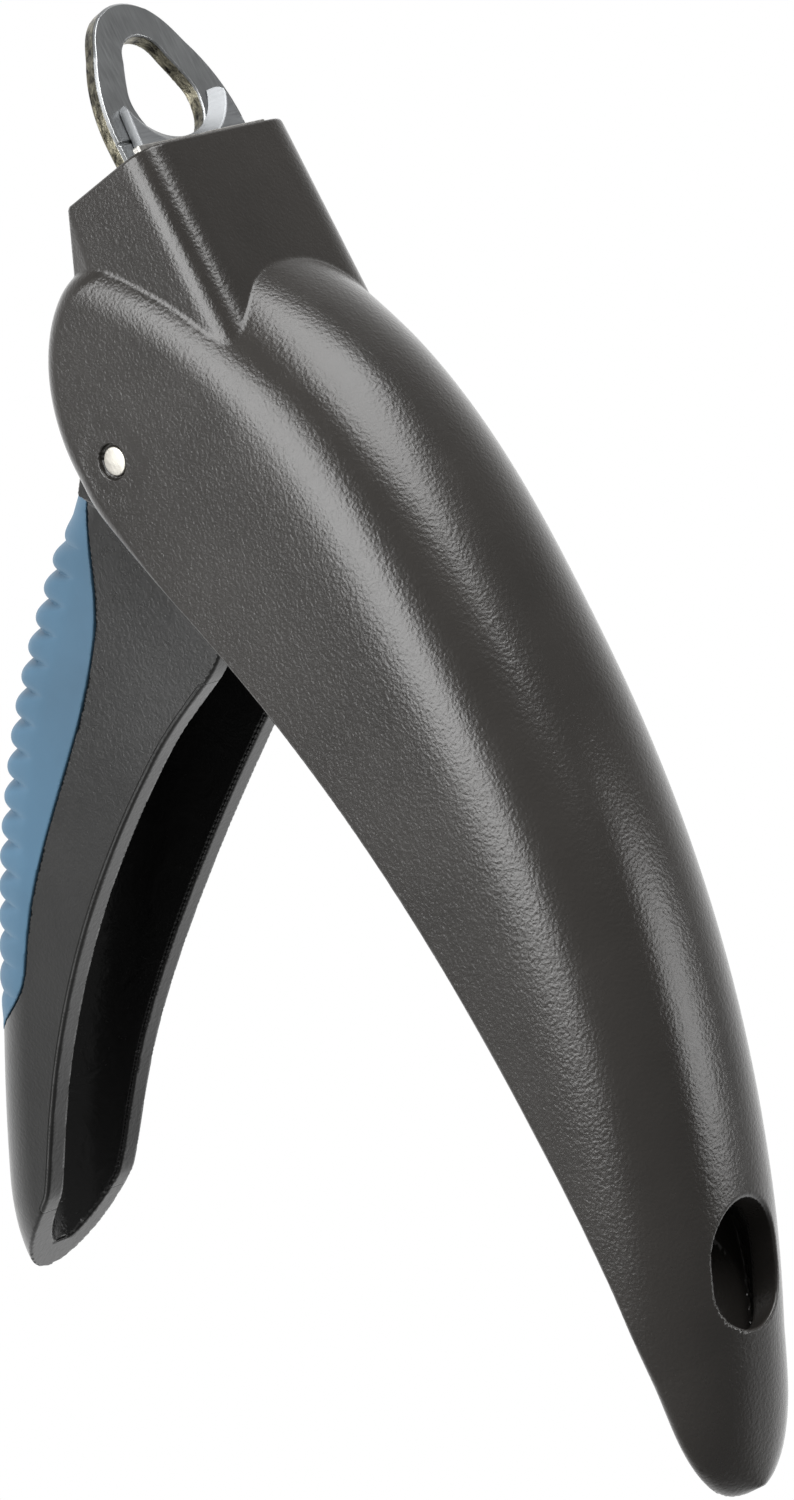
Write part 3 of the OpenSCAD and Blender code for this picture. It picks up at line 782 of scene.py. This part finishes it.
# ------------------------------------------------------------------ shader helpers
def new_material(name):
    material = bpy.data.materials.new(name)
    material.use_nodes = True
    return material, material.node_tree, material.node_tree.nodes["Principled BSDF"]


def node(tree, kind, **settings):
    """Adds a node; settings are input values or properties."""
    n = tree.nodes.new(kind)
    for key, value in settings.items():
        if key in n.inputs:
            n.inputs[key].default_value = value
        else:
            setattr(n, key, value)
    return n


def feed(tree, socket, value):
    """Links a socket, or sets its constant."""
    if isinstance(value, bpy.types.NodeSocket):
        tree.links.new(value, socket)
    else:
        socket.default_value = value


def coords(tree, scale=(1, 1, 1)):
    place = node(tree, "ShaderNodeTexCoord")
    mapping = node(tree, "ShaderNodeMapping", Scale=scale)
    tree.links.new(place.outputs["Object"], mapping.inputs["Vector"])
    return mapping.outputs["Vector"]


def noise(tree, vector, scale, detail=3, rough=0.5, distortion=0.0, output="Fac"):
    n = node(tree, "ShaderNodeTexNoise", Scale=scale, Detail=detail, Roughness=rough,
             Distortion=distortion)
    tree.links.new(vector, n.inputs["Vector"])
    return n.outputs[output]


def ramp(tree, factor, low, high):
    """Colour ramp; low and high are (position, colour)."""
    n = node(tree, "ShaderNodeValToRGB")
    for element, (position, colour) in zip(n.color_ramp.elements, (low, high)):
        element.position = position
        element.color = (*colour, 1)
    tree.links.new(factor, n.inputs["Fac"])
    return n.outputs["Color"]


def remap(tree, value, source, target):
    n = node(tree, "ShaderNodeMapRange")
    names = ("From Min", "From Max", "To Min", "To Max")
    for name, limit in zip(names, (*source, *target)):
        n.inputs[name].default_value = limit
    tree.links.new(value, n.inputs["Value"])
    return n.outputs["Result"]


def maths(tree, operation, a, b=0.0):
    n = node(tree, "ShaderNodeMath", operation=operation)
    feed(tree, n.inputs[0], a)
    feed(tree, n.inputs[1], b)
    return n.outputs[0]


def weighted(tree, a, share_a, b, share_b):
    return maths(tree, "ADD", maths(tree, "MULTIPLY", a, share_a),
                 maths(tree, "MULTIPLY", b, share_b))


def mix_values(tree, factor, a, b, kind="FLOAT"):
    # A Mix node's sockets for floats and for colours stand at different places.
    first, result = (6, 2) if kind == "RGBA" else (2, 0)
    n = node(tree, "ShaderNodeMix", data_type=kind)
    feed(tree, n.inputs[0], factor)
    feed(tree, n.inputs[first], a)
    feed(tree, n.inputs[first + 1], b)
    return n.outputs[result]


def bump(tree, height, distance, strength=1.0, normal=None):
    n = node(tree, "ShaderNodeBump", Strength=strength, Distance=distance)
    tree.links.new(height, n.inputs["Height"])
    if normal is not None:
        tree.links.new(normal, n.inputs["Normal"])
    return n.outputs["Normal"]


def srgb(*channels):
    return tuple((c / 255 / 12.92) if c / 255 <= 0.04045 else ((c / 255 + 0.055) / 1.055) ** 2.4
                 for c in channels)


def leather_height(tree, vector, scale):
    """Moulding grain: warped cells, plus a finer tooth."""
    cells = node(tree, "ShaderNodeTexVoronoi", Scale=scale, feature="SMOOTH_F1")
    cells.inputs["Smoothness"].default_value = 0.6
    warped = node(tree, "ShaderNodeVectorMath", operation="ADD")
    shift = node(tree, "ShaderNodeVectorMath", operation="SCALE")
    shift.inputs["Scale"].default_value = 0.0006
    tree.links.new(noise(tree, vector, scale * 0.6, detail=2.0, output="Color"), shift.inputs[0])
    tree.links.new(vector, warped.inputs[0])
    tree.links.new(shift.outputs[0], warped.inputs[1])
    tree.links.new(warped.outputs[0], cells.inputs["Vector"])
    tooth = noise(tree, vector, scale * 1.7, rough=0.6)
    return maths(tree, "ADD", cells.outputs["Distance"], maths(tree, "MULTIPLY", tooth, 0.55))


def plastic(name, base, rough, grain, scale, spec=0.5, inner=None, groove=None):
    """Grained plastic. grain: bump depth, mm; inner: painted colour inside the moulding, standing
    in for the light and shade in the channel;
    groove: distance of the fine groove from the rim, mm."""
    material, tree, shader = new_material(name)
    vector = coords(tree)
    big = noise(tree, vector, 55, detail=4, rough=0.55)
    fine = noise(tree, vector, 900, rough=0.6)
    colour = ramp(tree, big, (0.3, tuple(c * 0.86 for c in base)),
                  (0.7, tuple(c * 1.14 for c in base)))
    roughness = remap(tree, weighted(tree, big, 0.6, fine, 0.4), (0.35, 0.65), rough)
    shader.inputs["Specular IOR Level"].default_value = spec
    if inner:
        # Inside of the moulding: a painted colour that stands in for the light and shade in the
        # channel, and glossier
        inside = node(tree, "ShaderNodeAttribute", attribute_name="inner").outputs["Fac"]
        colour = mix_values(tree, inside, colour, (*inner, 1), kind="RGBA")
        roughness = mix_values(tree, inside, roughness, 0.26)
        tree.links.new(mix_values(tree, inside, spec, 0.3), shader.inputs["Specular IOR Level"])
    tree.links.new(colour, shader.inputs["Base Color"])
    tree.links.new(roughness, shader.inputs["Roughness"])
    normal = bump(tree, leather_height(tree, vector, scale), grain / 1000)
    if inner:
        waves = noise(tree, vector, 190, detail=4, rough=0.6, distortion=0.8)
        normal = bump(tree, maths(tree, "MULTIPLY", waves, inside), 0.0005, normal=normal)
    if groove:
        edge = node(tree, "ShaderNodeAttribute", attribute_name="edge").outputs["Fac"]
        offset = maths(tree, "ABSOLUTE", maths(tree, "ADD", edge, groove))
        normal = bump(tree, remap(tree, offset, (0.05, 0.16), (0, 1)), 0.00007, normal=normal)
    tree.links.new(normal, shader.inputs["Normal"])
    return material


def torn_walls(tree, colour, normal, depth, dark, light):
    """Blanked edges: torn, speckled surface where the face turns away from X."""
    geometry = node(tree, "ShaderNodeNewGeometry")
    axes = node(tree, "ShaderNodeSeparateXYZ")
    tree.links.new(geometry.outputs["Normal"], axes.inputs[0])
    wall = remap(tree, maths(tree, "ABSOLUTE", axes.outputs[0]), (0.25, 0.45), (1, 0))
    tear = noise(tree, coords(tree, (1, 0.6, 0.6)), 1500, detail=4, rough=0.7, distortion=0.4)
    normal = bump(tree, maths(tree, "MULTIPLY", tear, wall), depth / 1000, normal=normal)
    speckle = ramp(tree, tear, (0.35, dark), (0.62, light))
    return mix_values(tree, wall, colour, speckle, kind="RGBA"), normal


def metal(name, base, rough, scale, grain=0.004, walls=None):
    """Brushed metal. scale: noise frequency along each axis; grain: bump depth, mm."""
    material, tree, shader = new_material(name)
    brushed = noise(tree, coords(tree, scale), 6, detail=4, rough=0.6)
    big = noise(tree, coords(tree), 220)
    shader.inputs["Metallic"].default_value = 1.0
    colour = ramp(tree, weighted(tree, brushed, 0.5, big, 0.5),
                  (0.35, tuple(c * 0.85 for c in base)),
                  (0.65, tuple(min(1, c * 1.1) for c in base)))
    tree.links.new(remap(tree, brushed, (0.3, 0.7), rough), shader.inputs["Roughness"])
    normal = bump(tree, brushed, grain / 1000, strength=0.6)
    if walls:
        colour, normal = torn_walls(tree, colour, normal, **walls)
    tree.links.new(colour, shader.inputs["Base Color"])
    tree.links.new(normal, shader.inputs["Normal"])
    return material


# ------------------------------------------------------------------ materials
# The inside colours below are painted light and shade for the channels; the plastic itself is the
# same colour throughout.
handle_plastic = plastic("black_plastic_grained", (0.030, 0.0275, 0.025), rough=(0.22, 0.28),
                         grain=0.024, scale=2600, inner=(0.055, 0.054, 0.050))
lever_plastic = plastic("black_plastic_lever", (0.011, 0.011, 0.0105), rough=(0.27, 0.34),
                        grain=0.017, scale=2600, inner=(0.028, 0.028, 0.028), groove=0.45)
rubber = plastic("blue_soft_rubber", srgb(74, 108, 132), rough=(0.48, 0.58), grain=0.005,
                 scale=3000, spec=0.3)
ring_steel = metal("ring_plate_steel", srgb(163, 165, 166), rough=(0.3, 0.4),
                   scale=(60, 900, 60), grain=0.003,
                   walls=dict(depth=0.11, dark=srgb(20, 19, 16), light=srgb(128, 124, 108)))
blade_steel = metal("ground_blade_steel", srgb(140, 142, 144), rough=(0.44, 0.56),
                    scale=(60, 60, 900), grain=0.002)
pin_steel = metal("pin_steel", srgb(196, 193, 185), rough=(0.3, 0.5), scale=(900, 300, 200),
                  grain=0.03)
screw_steel = metal("screw_steel", srgb(190, 188, 184), rough=(0.28, 0.4), scale=(400, 400, 400))
wire_steel = metal("spring_wire_steel", srgb(205, 204, 200), rough=(0.2, 0.3),
                   scale=(300, 300, 300))
nylon = plastic("nylon_white", srgb(222, 219, 208), rough=(0.45, 0.55), grain=0.01, scale=1500)


def paint(ob, material):
    """Gives every slot the material; a CAD piece keeps its slots."""
    if not ob.get("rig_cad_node"):
        ob.data.materials.clear()
    if len(ob.material_slots) == 0:
        ob.data.materials.append(material)
    for slot in ob.material_slots:
        slot.material = material


# Piece, the CAD node it replaces, the body it rides on, its material slot and material
for piece, cad_node, body, slot, material in (
    (handle_piece, "main_handle", "handle_body", "handle_plastic", handle_plastic),
    (lever_piece, "lever_handle", "lever_body", "lever_plastic", lever_plastic),
    (grip_piece, "lever_grip", "lever_body", "soft_grip", rubber),
    (ring_piece, "ring_plate", "handle_body", "ring_steel", ring_steel),
    (blade_piece, "cutting_blade", "blade_body", "blade_steel", blade_steel),
    (cover_piece, "cover_plate", "handle_body", "fixings", screw_steel),
    (pin_piece, "pivot_pin", "handle_body", "pin_steel", pin_steel),
    (spring_piece, "return_spring", "handle_body", "spring_steel", wire_steel),
):
    paint(piece, material)
    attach(piece, body)
    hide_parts(cad_node)

# CAD pieces that are shown as they are
for name in ("guide_rails", "head_screws", "spring_seat", "drive_arm", "arm_rivets"):
    paint(frame["nodes"][name], screw_steel)
paint(frame["nodes"]["thrust_washers"], nylon)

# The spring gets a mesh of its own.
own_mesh(spring_piece)

# ------------------------------------------------------------------ camera
RIGHT = Vector((0.60512391, 0.66065351, -0.44425442))
UP = Vector((0.41484227, 0.21461738, 0.88422015))
TOWARD = Vector((0.67950787, -0.71935827, -0.14419689))     # from the object to the camera


def placed(axes, location):
    matrix = Matrix(axes).transposed().to_4x4()
    matrix.translation = location
    return matrix


camera = bpy.data.cameras.new("camera")
camera_object = add_object("camera", camera)
camera.lens = 157.5
camera.clip_start = 0.02
camera.clip_end = 20
camera_object.matrix_world = placed((RIGHT, UP, TOWARD), Vector((0.427957, -0.465390, -0.162432)))
bpy.context.scene.camera = camera_object


# ------------------------------------------------------------------ lights and surroundings
def softbox(name, shares, wide, tall, radiance, upright, distance=1.6):
    """Evenly bright rectangle facing the object, its tall side along upright.
    shares: its direction as parts of RIGHT, UP and TOWARD."""
    right, up, toward = shares
    facing = (RIGHT * right + UP * up + TOWARD * toward).normalized()
    data = bpy.data.lights.new(name, "AREA")
    data.shape = "RECTANGLE"
    data.size = wide
    data.size_y = tall
    data.energy = radiance * math.pi * wide * tall
    tall_axis = (upright - facing * upright.dot(facing)).normalized()
    axes = (tall_axis.cross(facing), tall_axis, facing)
    add_object(name, data).matrix_world = placed(axes, Vector((0, 0, -0.06)) + facing * distance)


softbox("left_box", (-0.89, -0.03, 0.455), wide=0.92, tall=1.10, radiance=8.2, upright=UP)
softbox("top_box", (0.15, 0.87, 0.47), wide=1.12, tall=1.60, radiance=7.0, upright=TOWARD)
softbox("right_box", (0.955, 0.10, 0.24), wide=0.84, tall=0.72, radiance=5.2, upright=UP)


def build_world():
    """White to the camera; other rays find it brighter beyond the object and below."""
    world = bpy.data.worlds.new("studio")
    bpy.context.scene.world = world
    world.use_nodes = True
    tree = world.node_tree
    background = tree.nodes["Background"]
    background.inputs["Color"].default_value = (1, 1, 1, 1)
    place = node(tree, "ShaderNodeTexCoord")
    facing = node(tree, "ShaderNodeVectorMath", operation="DOT_PRODUCT")
    tree.links.new(place.outputs["Generated"], facing.inputs[0])
    facing.inputs[1].default_value = tuple(-TOWARD - 0.35 * UP)
    ambient = remap(tree, facing.outputs["Value"], (0.0, 0.7), (0.20, 1.5))
    seen = node(tree, "ShaderNodeLightPath").outputs["Is Camera Ray"]
    tree.links.new(mix_values(tree, seen, ambient, 1.0), background.inputs["Strength"])


def mix_shaders(tree, factor, a, b):
    n = node(tree, "ShaderNodeMixShader")
    for socket, value in zip(n.inputs, (factor, a, b)):
        tree.links.new(value, socket)
    return n.outputs[0]


def floor_material():
    """Pale floor, fading to plain white away from the object and clear from below."""
    material, tree, shader = new_material("floor_white")
    shader.inputs["Roughness"].default_value = 0.85
    tone = ramp(tree, noise(tree, coords(tree), 9), (0.3, (0.86, 0.86, 0.855)),
                (0.7, (0.9, 0.9, 0.895)))
    tree.links.new(tone, shader.inputs["Base Color"])
    geometry = node(tree, "ShaderNodeNewGeometry")
    length = node(tree, "ShaderNodeVectorMath", operation="LENGTH")
    tree.links.new(geometry.outputs["Position"], length.inputs[0])
    far = remap(tree, length.outputs["Value"], (0.16, 0.36), (0, 1))
    white = node(tree, "ShaderNodeEmission", Strength=1.0)
    top = mix_shaders(tree, far, shader.outputs[0], white.outputs[0])
    clear = node(tree, "ShaderNodeBsdfTransparent")
    result = mix_shaders(tree, geometry.outputs["Backfacing"], top, clear.outputs[0])
    tree.links.new(result, tree.nodes["Material Output"].inputs["Surface"])
    return material


def build_floor(half=2, gap=0.0005):
    """Square just under the CAD pieces; sizes in metres."""
    z = cad_low[2] - gap
    mesh = bpy.data.meshes.new("floor")
    mesh.from_pydata([(-half, -half, z), (half, -half, z), (half, half, z), (-half, half, z)],
                     [], [(0, 1, 2, 3)])
    floor = add_object("floor", mesh)
    mesh.materials.append(floor_material())
    floor.visible_diffuse = False
    floor.visible_glossy = False


build_world()
build_floor()
bpy.context.scene.view_settings.view_transform = "Standard"
